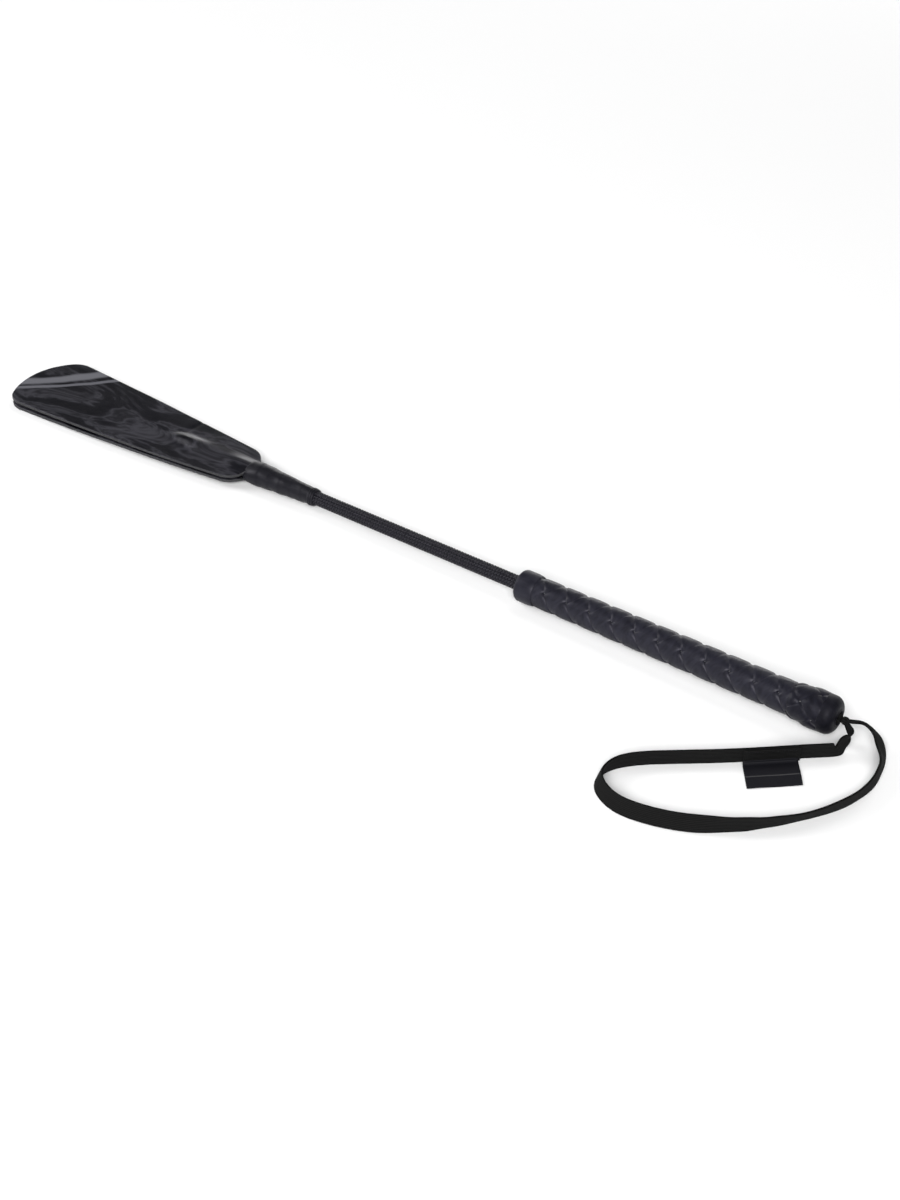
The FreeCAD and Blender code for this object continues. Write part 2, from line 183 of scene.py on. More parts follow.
# ---------------- materials
class Look:
    """A procedural material. Uniform values sit on the shader, and patterns are linked to it."""

    def __init__(self, name, roughness, **values):
        self.material = bpy.data.materials.new(name)
        self.material.use_nodes = True
        self.nodes = self.material.node_tree.nodes
        self.links = self.material.node_tree.links
        self.shader = self.nodes["Principled BSDF"]
        self.shader.inputs["Roughness"].default_value = roughness
        for key, value in values.items():
            self.shader.inputs[key.replace("_", " ")].default_value = value

    def node(self, kind, inputs=None, **settings):
        made = self.nodes.new("ShaderNode" + kind)
        for key, value in settings.items():
            setattr(made, key, value)
        for key, value in (inputs or {}).items():
            if isinstance(value, bpy.types.NodeSocket):
                self.links.new(value, made.inputs[key])
            else:
                made.inputs[key].default_value = value
        return made

    def flat(self, scale=(1, 1, 1), turn=0.0):
        """Coordinates that lie in the surface: metres along, metres across."""
        source = self.node("Attribute", attribute_name="flat").outputs["Vector"]
        mapping = self.node("Mapping", {"Vector": source, "Scale": scale, "Rotation": (0, 0, turn)})
        return mapping.outputs["Vector"]

    def noise(self, vector, scale, detail, distortion=0.0, roughness=0.5):
        values = {"Vector": vector, "Scale": scale, "Detail": detail, "Distortion": distortion,
                  "Roughness": roughness}
        return self.node("TexNoise", values).outputs["Fac"]

    def ramp(self, factor, stops):
        made = self.node("ValToRGB", {"Fac": factor})
        elements = made.color_ramp.elements
        while len(elements) < len(stops):
            elements.new(0.5)
        for element, (place, colour) in zip(elements, stops):
            element.position = place
            element.color = (*colour, 1)
        return made.outputs["Color"]

    def maths(self, operation, first, second=0.0):
        return self.node("Math", {0: first, 1: second}, operation=operation).outputs["Value"]

    def span(self, factor, low, high):
        return self.node("MapRange", {"Value": factor, "To Min": low, "To Max": high}).outputs["Result"]

    def mix(self, factor, first, second):
        made = self.node("Mix", {"Factor": factor}, data_type="RGBA")
        for index, value in ((6, first), (7, second)):
            if isinstance(value, bpy.types.NodeSocket):
                self.links.new(value, made.inputs[index])
            else:
                made.inputs[index].default_value = (*value, 1)
        return made.outputs[2]

    def colour(self, socket):
        self.links.new(socket, self.shader.inputs["Base Color"])

    def rough(self, socket):
        self.links.new(socket, self.shader.inputs["Roughness"])

    def bump(self, height, distance, strength, normal=None):
        values = {"Height": height, "Distance": distance, "Strength": strength}
        if normal:
            values["Normal"] = normal
        made = self.node("Bump", values).outputs["Normal"]
        self.links.new(made, self.shader.inputs["Normal"])
        return made


VIOLET_SHEEN = (0.93, 0.9, 1.0, 1.0)
LEATHER_ROUGHNESS = (0.22, 0.42)
# The leather is duller across the middle of the ridge over the rod: the station, how far to each side it
# stays fully dull and where that ends, in millimetres, and the roughness that it adds.
DULL_MIDDLE = 168.0
DULL_INNER = 6.0
DULL_OUTER = 20.0
DULL_ROUGHNESS = 0.42
# Two pale streaks near the tip, painted reflections of light: station on the middle line, slope, half width,
# tone. Both wander a little.
TIP_PAINTED_REFLECTIONS = ((12.6, 0.97, 7.4, (0.125, 0.125, 0.14)), (24.5, 1.06, 3.2, (0.11, 0.11, 0.125)))
PAINTED_REFLECTION_WANDER = 12.0


def marbled_leather():
    """Polished leather with swirled veins in it, and two pale streaks painted across it near the tip as
    reflections of light.
    """
    look = Look("marbled_leather", 0.3, Specular_IOR_Level=0.2, Specular_Tint=VIOLET_SHEEN)
    swirl = look.noise(look.flat((0.5, 1.3, 1), math.radians(24)), 25, 3.6, 2.7, 0.55)
    veins = look.ramp(swirl, [(0.33, (0.002, 0.002, 0.004)), (0.46, (0.006, 0.006, 0.009)),
                              (0.53, (0.050, 0.049, 0.059)), (0.59, (0.010, 0.010, 0.013)),
                              (0.67, (0.042, 0.041, 0.050)), (0.78, (0.005, 0.005, 0.007))])
    patch = look.noise(look.flat(), 14, 2)
    shade = look.mix(look.span(patch, 0.25, 1.0), (0.003, 0.003, 0.004), veins)
    place = look.node("SeparateXYZ", {"Vector": look.flat()})
    uneven = look.maths("SUBTRACT", look.noise(look.flat(), 22, 2), 0.5)
    wander = look.maths("MULTIPLY", uneven, PAINTED_REFLECTION_WANDER * MM)
    # Painted reflections: the two pale streaks are mixed into the leather's colour.
    for middle, slope, half_width, tone in TIP_PAINTED_REFLECTIONS:
        line = look.maths("MULTIPLY", place.outputs["Y"], slope)
        offset = look.maths("SUBTRACT", look.maths("SUBTRACT", place.outputs["X"], line), middle * MM)
        apart = look.maths("ABSOLUTE", look.maths("ADD", offset, wander))
        fading = {"Value": apart, "From Min": half_width * MM, "From Max": 0.4 * half_width * MM}
        painted_reflection = look.node("MapRange", fading, interpolation_type="SMOOTHSTEP").outputs["Result"]
        shade = look.mix(painted_reflection, shade, tone)
    look.colour(shade)
    along = look.maths("ABSOLUTE", look.maths("SUBTRACT", place.outputs["X"], DULL_MIDDLE * MM))
    dull = look.node("MapRange", {"Value": along, "From Min": DULL_INNER * MM, "From Max": DULL_OUTER * MM,
                                  "To Min": DULL_ROUGHNESS, "To Max": 0.0}).outputs["Result"]
    rough = look.span(look.noise(look.flat(), 90, 4), *LEATHER_ROUGHNESS)
    look.rough(look.maths("ADD", rough, dull))
    grain = look.noise(look.flat(), 1500, 3)
    look.bump(grain, 0.00006, 0.5, look.bump(swirl, 0.00025, 0.4))
    return look.material


def cut_edge():
    """The fibrous, unpolished edge of cut leather."""
    look = Look("cut_edge", 0.7)
    fibres = look.noise(look.flat(), 900, 5)
    look.colour(look.ramp(fibres, [(0.3, (0.008, 0.008, 0.010)), (0.7, (0.034, 0.034, 0.038))]))
    look.bump(fibres, 0.0002, 0.6)
    return look.material


def satin_leather(name, dark, light, roughness, shine=0.22):
    """Smooth dyed leather: fine pores, soft mottling and a rubbed, lighter tone in soft random streaks."""
    look = Look(name, roughness, Specular_IOR_Level=shine, Specular_Tint=VIOLET_SHEEN)
    mottle = look.noise(look.flat(), 130, 4)
    rubbed = look.noise(look.flat((0.4, 1.6, 1)), 420, 5)
    tone = look.maths("MULTIPLY", look.maths("ADD", mottle, rubbed), 0.5)
    look.colour(look.ramp(tone, [(0.36, dark), (0.64, light)]))
    look.rough(look.span(mottle, roughness - 0.08, roughness + 0.1))
    pores = look.node("TexVoronoi", {"Vector": look.flat(), "Scale": 1500}).outputs["Distance"]
    look.bump(pores, 0.00008, 0.45, look.bump(rubbed, 0.00012, 0.35))
    return look.material


def nylon_yarn(name, dark, light):
    """Filaments that run along each strand, with painted shade that darkens each strand towards its edges, so
    it looks lit along its middle.
    """
    look = Look(name, 0.3, Specular_IOR_Level=0.13, Specular_Tint=VIOLET_SHEEN)
    filaments = look.noise(look.flat((0.06, 1, 1)), 9000, 2)
    # Painted shade: the colour darkens towards each strand's edges.
    middle = look.maths("ABSOLUTE", look.node("SeparateXYZ", {"Vector": look.flat()}).outputs["Y"])
    crown = look.node("MapRange", {"Value": middle, "From Min": 0.0, "From Max": 0.0007}).outputs["Result"]
    tone = look.maths("SUBTRACT", look.maths("ADD", filaments, 0.25), look.maths("MULTIPLY", crown, 0.5))
    look.colour(look.ramp(tone, [(0.2, dark), (0.7, light)]))
    look.rough(look.span(filaments, 0.2, 0.36))
    look.bump(filaments, 0.00006, 0.6)
    return look.material


def woven_tape():
    """Ribbed narrow weave with a faint fuzz."""
    look = Look("woven_tape", 0.9, Specular_IOR_Level=0.12)
    picks = look.node("TexWave", {"Vector": look.flat(), "Scale": 330, "Distortion": 1.2, "Detail": 2},
                      bands_direction="Y").outputs["Fac"]
    fuzz = look.noise(look.flat(), 2600, 4)
    threads = look.maths("MULTIPLY", look.maths("ADD", picks, fuzz), 0.5)
    look.colour(look.ramp(threads, [(0.3, (0.002, 0.002, 0.002)), (0.8, (0.010, 0.010, 0.010))]))
    look.bump(threads, 0.00015, 0.7)
    return look.material


def thread_look():
    """Thread with its plies twisted round."""
    look = Look("waxed_thread", 0.7, Specular_IOR_Level=0.12)
    twist = look.node("TexWave", {"Vector": look.flat(turn=math.radians(30)), "Scale": 600},
                      bands_direction="X").outputs["Fac"]
    look.colour(look.ramp(twist, [(0.2, (0.002, 0.002, 0.002)), (0.8, (0.009, 0.009, 0.010))]))
    look.bump(twist, 0.00005, 0.6)
    return look.material


def label_satin():
    """Fine satin weave with one plain, paler line woven in."""
    look = Look("label_satin", 0.5, Specular_IOR_Level=0.12)
    weave = look.node("TexWave", {"Vector": look.flat(), "Scale": 700, "Distortion": 0.3},
                      bands_direction="Y").outputs["Fac"]
    across = look.node("SeparateXYZ", {"Vector": look.flat()}).outputs["Y"]
    cloth = look.ramp(weave, [(0.1, (0.004, 0.004, 0.006)), (0.9, (0.010, 0.010, 0.013))])
    line = look.maths("COMPARE", across, LABEL_LINE * MM)
    line.node.inputs[2].default_value = LABEL_LINE_HALF_WIDTH * MM
    look.colour(look.mix(line, cloth, (0.05, 0.05, 0.052)))
    look.bump(weave, 0.00006, 0.6)
    return look.material


def inner_look(name, colour, roughness, metallic=0.0):
    """For the pieces inside: a faintly mottled moulded or drawn finish."""
    look = Look(name, roughness, Metallic=metallic)
    spots = look.noise(look.node("TexCoord").outputs["Object"], 300, 3)
    paler = tuple(min(1.0, value * 1.4 + 0.01) for value in colour)
    look.colour(look.ramp(spots, [(0.3, colour), (0.7, paler)]))
    look.bump(spots, 0.00005, 0.4)
    return look.material


LABEL_LINE = 9.5
LABEL_LINE_HALF_WIDTH = 0.35
leaf_look = marbled_leather()
edge_look = cut_edge()
grip_look = satin_leather("grip_leather", (0.007, 0.007, 0.011), (0.016, 0.016, 0.024), 0.40)
collar_look = satin_leather("collar_leather", (0.007, 0.007, 0.012), (0.014, 0.014, 0.021), 0.44)
binding_look = satin_leather("binding_leather", (0.004, 0.004, 0.006), (0.009, 0.009, 0.012), 0.42)
# The cap's leather is darker than the knob's: partly its own darker tone and partly painted shade for the end
# that faces away from the light.
cap_look = satin_leather("cap_leather", (0.003, 0.003, 0.005), (0.008, 0.008, 0.012), 0.5, 0.12)
knob_look = satin_leather("knob_leather", (0.005, 0.005, 0.008), (0.011, 0.011, 0.017), 0.40, 0.16)
yarn_look = nylon_yarn("nylon_yarn", (0.001, 0.001, 0.002), (0.006, 0.006, 0.009))
# The second family's yarn is painted paler, as painted glints of light along the braid.
glint_painted_yarn_look = nylon_yarn("nylon_yarn_painted_glints", (0.001, 0.001, 0.002), (0.032, 0.031, 0.038))
tape_look = woven_tape()
stitch_look = thread_look()
label_look = label_satin()

# ---------------- wrist strap
STRAP_WIDTH = 10.0
STRAP_THICK = 1.5
# The middle line of the loop in millimetres: out of the cap's hole, round on the floor and back to the hole.
STRAP_ROUTE = [
    (309.9, 0.4, 13.0),
    (312.0, 1.5, 12.7), (318.8, 7.0, 11.5), (329.5, 3.2, 8.3), (336.3, -6.5, 6.2), (339.8, -18.0, 5.2),
    (340.6, -31.0, 5.05), (336.0, -49.3, 5.05), (322.3, -72.0, 5.05), (301.3, -94.0, 5.05),
    (277.3, -109.5, 5.05), (255.3, -117.3, 5.05), (236.8, -119.0, 5.05), (221.3, -110.0, 5.05),
    (220.8, -96.0, 5.05), (229.8, -83.4, 5.05), (249.5, -68.0, 5.05), (271.0, -51.3, 5.05),
    (300.6, -25.4, 5.05), (308.6, -18.8, 5.05), (313.6, -14.4, 5.2), (314.6, -11.4, 8.7), (317.2, -6.0, 10.6),
    (312.2, -2.4, 12.4), (310.0, -0.4, 12.9),
]
STRAP_COLUMNS = 28
STRAP_RIBS = 7
RIB_HEIGHT = 0.10
RIB_SINK = 0.06
# How squarely the tape's edges and its outer ribs end: a higher power is squarer.
TAPE_EDGE_POWER = 10
RIB_FADE_POWER = 8
FLOOR_CLEARANCE = 0.05
# The strap stands on the floor where its middle line is below the first height, and not above the second.
STANDING_HEIGHTS = (6.0, 9.0)
# Along the strap, as a share of its length: how far its top edge leans in over the loop, in degrees,
# how much of its width it keeps, and how deep its edges fold together, in millimetres.
STRAP_LEAN = [(0.0, 60), (0.05, 50), (0.12, 4), (0.19, -12), (0.27, -24), (0.32, -14), (0.36, 2),
              (0.43, 28), (0.56, 26), (0.66, 0), (0.96, 0), (0.98, 12), (1.0, 20)]
STRAP_FULLNESS = [(0.0, 0.28), (0.025, 0.42), (0.07, 0.97), (0.09, 1.0), (0.965, 1.0), (0.977, 0.62),
                  (1.0, 0.3)]
STRAP_FOLD = [(0.0, 0.8), (0.05, 0.2), (0.09, 0.0), (0.955, 0.0), (0.977, 1.2), (1.0, 0.8)]


def spline_points(route, steps):
    """Points on the smooth NURBS line whose control points are the route's, from first to last."""
    curve = bpy.data.curves.new("route", "CURVE")
    curve.dimensions = "3D"
    curve.resolution_u = steps
    spline = curve.splines.new("NURBS")
    spline.points.add(len(route) - 1)
    for point, place in zip(spline.points, route):
        point.co = (*[value * MM for value in place], 1)
    spline.order_u = 3
    spline.use_endpoint_u = True
    holder = bpy.data.objects.new("route", curve)
    mesh = bpy.data.meshes.new_from_object(holder)
    points = [vertex.co.copy() for vertex in mesh.vertices]
    bpy.data.objects.remove(holder)
    bpy.data.curves.remove(curve)
    bpy.data.meshes.remove(mesh)
    return points


def ribbon_frames(points):
    """Each point with its distance along, the way up across the tape and the way in."""
    frames = []
    distance = 0.0
    for i, point in enumerate(points):
        before = points[max(0, i - 1)]
        after = points[min(len(points) - 1, i + 1)]
        direction = (after - before).normalized()
        distance += (point - before).length
        inward = direction.cross(Vector((0, 0, 1))).normalized()
        frames.append((point, distance, inward.cross(direction), inward))
    return frames


def tape_loop(centre, up, inward, half_width, half_thick, fold, distance):
    """One closed loop round a tape's section, with lengthwise ribs and rounded edges."""
    loop = []
    flats = []
    for side in (1, -1):
        for i in range(STRAP_COLUMNS + 1):
            share = side * (2 * i / STRAP_COLUMNS - 1)
            edge = half_thick * (1 - abs(share) ** TAPE_EDGE_POWER) ** 0.5
            rib = RIB_HEIGHT * MM * abs(math.sin(math.pi * STRAP_RIBS * (share + 1) / 2))
            rib *= 1 - share ** RIB_FADE_POWER
            out = side * (edge + rib - RIB_SINK * MM) + fold * (abs(share) - 0.5)
            loop.append(centre + up * (share * half_width) + inward * out)
            flats.append((distance, share * half_width, side * half_thick))
    return loop, flats


def strap_section(entry, shift=0.0):
    """The strap's section at one point, moved out by shift. Where it is low, it stands on the floor."""
    point, distance, up, inward = entry
    share = distance / strap_length
    lean = math.radians(along_keys(STRAP_LEAN, share))
    tall = up * math.cos(lean) + inward * math.sin(lean)
    facing = inward * math.cos(lean) - up * math.sin(lean)
    half_width = STRAP_WIDTH / 2 * along_keys(STRAP_FULLNESS, share) * MM
    on_floor = 1 - smooth_step(STANDING_HEIGHTS[0] * MM, STANDING_HEIGHTS[1] * MM, point.z)
    lowest = (STRAP_WIDTH * abs(tall.z) + STRAP_THICK * abs(facing.z)) / 2 * MM
    centre = Vector(point)
    centre.z += on_floor * (lowest + FLOOR_CLEARANCE * MM - point.z)
    fold = along_keys(STRAP_FOLD, share) * MM
    half_thick = STRAP_THICK / 2 * MM
    return tape_loop(centre + facing * shift, tall, facing, half_width, half_thick, fold, distance)


strap_points = spline_points(STRAP_ROUTE, 14)
strap_frames = ribbon_frames(strap_points)
strap_length = strap_frames[-1][1]

strap = Build()
sections = [strap_section(entry) for entry in strap_frames]
strap.skin(*zip(*sections))
strap_piece = strap.piece("strap_tape", [tape_look], "wrist_loop", ["wrist_strap"])

# ---------------- sewn overlap and its stitches
OVERLAP_LENGTH = 31.0
OVERLAP_STEP_OUT = 1.7
OVERLAP_PRESSED = 0.35
STITCH_ROWS = (-3.6, 3.6)
STITCH_PITCH = 3.0
STITCH_LENGTH = 2.4
STITCH_RADIUS = 0.26
STITCH_RISE = 0.12
STITCH_CLEARANCE = 0.05
STITCH_STEPS = 8
STITCH_SIDES = 8
# How thin a stitch is where it goes into the tape, as a share of its thickness.
STITCH_END = 0.35
overlap_middle = middle_of("strap_overlap")
nearest = min(strap_frames, key=lambda entry: (entry[0] - overlap_middle).length)
overlap_reach = (OVERLAP_LENGTH / 2 + 0.7) * MM
overlap_frames = [entry for entry in strap_frames if abs(entry[1] - nearest[1]) <= overlap_reach]


def place_on_overlap(distance, height, out):
    """A point on the overlap: distance along from its middle, height, and way out from the strap."""
    wanted = nearest[1] + distance
    for first, second in zip(strap_frames, strap_frames[1:]):
        if second[1] >= wanted:
            share = (wanted - first[1]) / (second[1] - first[1])
            centre = first[0].lerp(second[0], share)
            return centre + first[2] * height + first[3] * out, first[2], first[3]


overlap = Build()
sections = []
for entry in overlap_frames:
    end_share = abs(entry[1] - nearest[1]) / (OVERLAP_LENGTH / 2 * MM)
    pressed = OVERLAP_PRESSED * MM * smooth_step(0.8, 1.0, end_share)
    sections.append(strap_section(entry, OVERLAP_STEP_OUT * MM - pressed))
overlap.skin(*zip(*sections))
overlap_piece = overlap.piece("strap_overlap_tape", [tape_look], "wrist_loop",
                              ["strap_overlap"])

stitches = Build()
stitch_out = (OVERLAP_STEP_OUT + STRAP_THICK / 2 + STITCH_CLEARANCE) * MM
stitch_count = int((OVERLAP_LENGTH - 2) / STITCH_PITCH)
for height in STITCH_ROWS:
    for index in range(stitch_count):
        loops = []
        for step in range(STITCH_STEPS + 1):
            share = step / STITCH_STEPS
            along = ((index - (stitch_count - 1) / 2) * STITCH_PITCH + (share - 0.5) * STITCH_LENGTH) * MM
            arch = math.sin(math.pi * share)
            rise = stitch_out + STITCH_RISE * MM * arch - STITCH_RISE * MM
            centre, up, inward = place_on_overlap(along, height * MM, rise)
            radius = STITCH_RADIUS * MM * (STITCH_END + (1 - STITCH_END) * arch)
            loops.append([centre + up * radius * math.cos(turn) + inward * radius * math.sin(turn)
                          for turn in turns_round(STITCH_SIDES)])
        stitches.skin(loops)
stitch_piece = stitches.piece("overlap_thread", [stitch_look], "wrist_loop", ["overlap_stitches"])

# ---------------- label
LABEL_LENGTH = 30.0
LABEL_SKEW = -0.08
LABEL_DEPTH = 17.3
LABEL_TAPE = 0.3
LABEL_BEND = 3.0
LABEL_CLEARANCE = 0.02
# The label's ripple: its height, how many half waves it has, and between which distances out it grows.
LABEL_RIPPLE = 0.12
LABEL_HALF_WAVES = 2.4
LABEL_RIPPLE_REACH = (2, 14)
LABEL_COLUMNS = 24
LABEL_STEPS = 20
# The heights of the two layers, their bulges, and how far the upper one comes down to the fold.
UPPER_HEIGHT = 0.45
UPPER_BULGE = 0.5
UPPER_FALL = 0.25
LOWER_HEIGHT = -0.3
LOWER_BULGE = 0.12
# The upper layer's end at the seam, as (way out, height).
SEAM_PROFILE = ((-1.0, 2.6), (-0.95, 1.9), (-0.7, 1.2), (-0.2, 0.72))
# The round fold at the free edge: its middle's distance from the edge and height, its reach and half height.
FOLD_INSET = 0.4
FOLD_MIDDLE = -0.05
FOLD_REACH = 0.28
FOLD_HEIGHT = 0.25
FOLD_STEPS = 6
flip = next(joint for joint in frame["joints"] if joint["name"] == "label_flip")
hinge = Vector(flip["pos_m"])
seam = -Vector(flip["axis"]).normalized()
outward = seam.cross(Vector((0, 0, 1))).normalized() + seam * LABEL_SKEW


def label_profile():
    """The folded tape from its upper sewn edge out to the fold and back: (way out, height)."""
    fold = LABEL_DEPTH - FOLD_INSET
    places = list(SEAM_PROFILE)
    for step in range(1, LABEL_STEPS + 1):
        share = step / LABEL_STEPS
        height = UPPER_HEIGHT + UPPER_BULGE * math.sin(math.pi * share) - UPPER_FALL * share
        places.append((share * fold, height))
    for step in range(1, FOLD_STEPS):
        turn = math.pi * step / FOLD_STEPS
        places.append((fold + FOLD_REACH * math.sin(turn), FOLD_MIDDLE + FOLD_HEIGHT * math.cos(turn)))
    for step in range(LABEL_STEPS, -1, -1):
        share = step / LABEL_STEPS
        places.append((share * fold, LOWER_HEIGHT + LOWER_BULGE * math.sin(math.pi * share)))
    return places


def label_section(profile, share):
    """One closed section across the folded tape, at a share of the label's length."""
    sideways = (share - 0.5) * LABEL_LENGTH
    ripple = LABEL_RIPPLE * math.sin(LABEL_HALF_WAVES * math.pi * share)
    loop = []
    flats = []
    for half in (1, -1):
        ordered = list(enumerate(profile))
        for i, (out, height) in (ordered if half > 0 else reversed(ordered)):
            before = profile[max(0, i - 1)]
            after = profile[min(len(profile) - 1, i + 1)]
            run = Vector((after[0] - before[0], 0, after[1] - before[1])).normalized()
            normal = Vector((-run.z, 0, run.x))
            x = out + normal.x * half * LABEL_TAPE / 2
            z = height + normal.z * half * LABEL_TAPE / 2 + ripple * smooth_step(*LABEL_RIPPLE_REACH, out)
            z = max(z, LABEL_CLEARANCE - hinge.z / MM)
            loop.append(hinge + (seam * sideways + outward * x) * MM + Vector((0, 0, z * MM)))
            flats.append((sideways * MM, out * MM, half * MM))
    return loop, flats


label = Build()
folded_tape = label_profile()
sections = [label_section(folded_tape, column / LABEL_COLUMNS) for column in range(LABEL_COLUMNS + 1)]
label.skin(*zip(*sections))
label_piece = label.piece("blank_label", [label_look], "label", ["label"],
                          ("wrist_loop", "label", hinge, hinge + outward * LABEL_BEND * MM))

# ---------------- strap root and neck
NECK_RADIUS = 2.4
NECK_RINGS = 15
NECK_BLUNTNESS = 0.7
FOLDED_COUNT = 60
neck_middle = middle_of("strap_neck")
neck_station = PIN_STATION + (neck_middle - pin_place).dot(ALONG) / MM


def lobed_ring(station, radius, lobes, depth, turn_by):
    """A ring pinched into folds."""
    points = []
    for turn in turns_round(FOLDED_COUNT):
        folded = radius * (1 - depth * (0.5 + 0.5 * math.cos(lobes * (turn + turn_by))) ** 2)
        points.append(at(station, folded * math.cos(turn), folded * math.sin(turn)))
    return points


root = Build()
ROOT_PROFILE = [(600.5, 3.2), (606.0, 3.3), (611.5, 3.4), (612.9, 3.2), (613.4, 2.7), (613.6, 1.8)]
root.skin([lobed_ring(*place, lobes=4, depth=0.35, turn_by=0.4) for place in ROOT_PROFILE])
root.piece("strap_root_folds", [tape_look], "crop", ["strap_root"])

neck = Build()
loops = []
for step in range(NECK_RINGS):
    polar = math.pi * (step + 0.5) / NECK_RINGS
    station = neck_station - NECK_RADIUS * math.cos(polar)
    radius = NECK_RADIUS * math.sin(polar) ** NECK_BLUNTNESS
    loops.append(lobed_ring(station, radius, lobes=5, depth=0.3, turn_by=0.9 + 0.25 * polar))
neck.skin(loops)
neck_piece = neck.piece("strap_neck_folds", [tape_look], "strap_neck", ["strap_neck"])

# ---------------- leaves
LEAF_THICK = 2.0
LEAF_GAP = 1.4
LEAF_SPLAY = math.radians(0.3)
FLEX_STATION = 124.0
FLEX_REACH = 16.0
# The outline: (station, distance from the middle line) down each side from the tip, as arcs through three.
TIP_ARC_MIDDLE = (0.3, -1.0)
FAR_SIDE = ((13.2, 26.0), (18.2, 28.9), (26.0, 29.8), (102.5, 25.0), (185.5, 17.4), (193.7, 13.2))
NEAR_SIDE = ((4.4, 21.8), (9.2, 28.0), (17.8, 30.2), (102.5, 25.7), (185.5, 17.8), (193.7, 13.4))
LEAF_END = 197.5
ROOT_HALF_WIDTH = 7.0
TONGUE_END = 207.0
OUTLINE_STEP = 1.4
# The even net of points inside the outline: its step, how far its rows lie apart and how far it keeps from
# the outline, as shares of the step, and where it starts.
FILL_STEP = 1.7
FILL_ROW_SHARE = 0.866
FILL_MARGIN_SHARE = 0.6
FILL_START = -2.0
FILL_HALF_WIDTH = 32.0
KEEP_INSIDE = 1
MERGE_DISTANCE = 1e-6
SPLAY_BEND = 6.0
# The leather's slight waves: their height, how long and broad they are, where they fade towards the binding
# and what share of them stays there. The lower leaf has a share of their height.
RIPPLE_HEIGHT = 0.42
RIPPLE_LENGTH = 46
RIPPLE_BREADTH = 30
RIPPLE_PLACE = 3.7
RIPPLE_FADE = (100, 180)
RIPPLE_LEAST = 0.25
LOWER_RIPPLE_SHARE = 0.35
# The rounded edge as (inset from the outline, depth below the face), from the face outwards.
EDGE_RINGS = ((0.5, 0.0), (0.16, 0.12), (0.0, 0.5))
# The pressed fold across the far side: its station and slope, depth and width, and between which distances
# from the middle line it starts. A low swell lies beside it, nearer to the tip.
CREASE_STATION = 134.0
CREASE_SLOPE = 0.10
CREASE_DEPTH = 0.38
CREASE_WIDTH = 1.1
CREASE_EDGE = (4, 8)
SWELL_DISTANCE = 5
SWELL_HEIGHT = 0.12
SWELL_WIDTH = 4.0
# The ridge over the rod, as (station, amount) pairs: its height, its half width, and how much wider it
# spreads on each side. The lower leaf's ridge keeps a share of the height.
LOWER_RIDGE_SHARE = 0.72
RIDGE_HEIGHT = [(125, 0.0), (140, 2.8), (146, 3.1), (166, 2.35), (189, 3.0), (199, 2.9), (207, 2.4)]
RIDGE_WIDTH = [(124, 5.0), (142, 8.0), (180, 8.8), (198, 8.8), (207, 7.0)]
RIDGE_NEAR_SPREAD = [(140, 1.0), (166, 1.5), (200, 1.4)]
RIDGE_FAR_SPREAD = [(146, 1.0), (168, 1.3), (191, 1.0)]


def arc_points(start, middle, end):
    """Points along the arc through three points, without its last one."""
    (ax, ay), (bx, by), (cx, cy) = start, middle, end
    twice = 2 * (ax * (by - cy) + bx * (cy - ay) + cx * (ay - by))
    a, b, c = ax * ax + ay * ay, bx * bx + by * by, cx * cx + cy * cy
    centre_x = (a * (by - cy) + b * (cy - ay) + c * (ay - by)) / twice
    centre_y = (a * (cx - bx) + b * (ax - cx) + c * (bx - ax)) / twice
    radius = math.hypot(ax - centre_x, ay - centre_y)
    first = math.atan2(ay - centre_y, ax - centre_x)
    sweep = math.atan2(cy - centre_y, cx - centre_x) - first
    half = math.atan2(by - centre_y, bx - centre_x) - first
    sweep = (sweep + math.pi) % (2 * math.pi) - math.pi
    half = (half + math.pi) % (2 * math.pi) - math.pi
    if half * sweep < 0:
        sweep -= math.copysign(2 * math.pi, sweep)
    steps = max(2, round(abs(sweep) * radius / OUTLINE_STEP))
    return [(centre_x + radius * math.cos(first + sweep * i / steps),
             centre_y + radius * math.sin(first + sweep * i / steps)) for i in range(steps)]


def line_points(start, end):
    """Points along the straight line, without its last one."""
    steps = max(1, round(math.dist(start, end) / OUTLINE_STEP))
    return [(start[0] + (end[0] - start[0]) * i / steps, start[1] + (end[1] - start[1]) * i / steps)
            for i in range(steps)]


def side_points(side):
    """Points along a side of the leaf, which is three arcs through its seven points."""
    return [point for first in (0, 2, 4) for point in arc_points(*side[first:first + 3])]


def leaf_outline():
    """Points round the leaf and its tongue, near tip corner first, along the near side to the root."""
    near = [(station, -width) for station, width in (*NEAR_SIDE, (LEAF_END, ROOT_HALF_WIDTH))]
    far = [(LEAF_END, ROOT_HALF_WIDTH), *reversed(FAR_SIDE)]
    tongue = [near[-1], (TONGUE_END, -ROOT_HALF_WIDTH), (TONGUE_END, ROOT_HALF_WIDTH), far[0]]
    points = side_points(near)
    for corner, following in zip(tongue, tongue[1:]):
        points += line_points(corner, following)
    return points + side_points(far) + arc_points(far[-1], TIP_ARC_MIDDLE, near[0])


def inset_points(points, amount):
    """The outline moved inwards by the amount."""
    moved = []
    for i, (x, y) in enumerate(points):
        before = points[i - 1]
        after = points[(i + 1) % len(points)]
        run = Vector((after[0] - before[0], after[1] - before[1])).normalized()
        moved.append((x - run.y * amount, y + run.x * amount))
    return moved


def inside(point, polygon):
    """Whether the point lies in the polygon."""
    x, y = point
    hit = False
    for (x1, y1), (x2, y2) in zip(polygon, polygon[1:] + polygon[:1]):
        if (y1 > y) != (y2 > y) and x < x1 + (y - y1) * (x2 - x1) / (y2 - y1):
            hit = not hit
    return hit


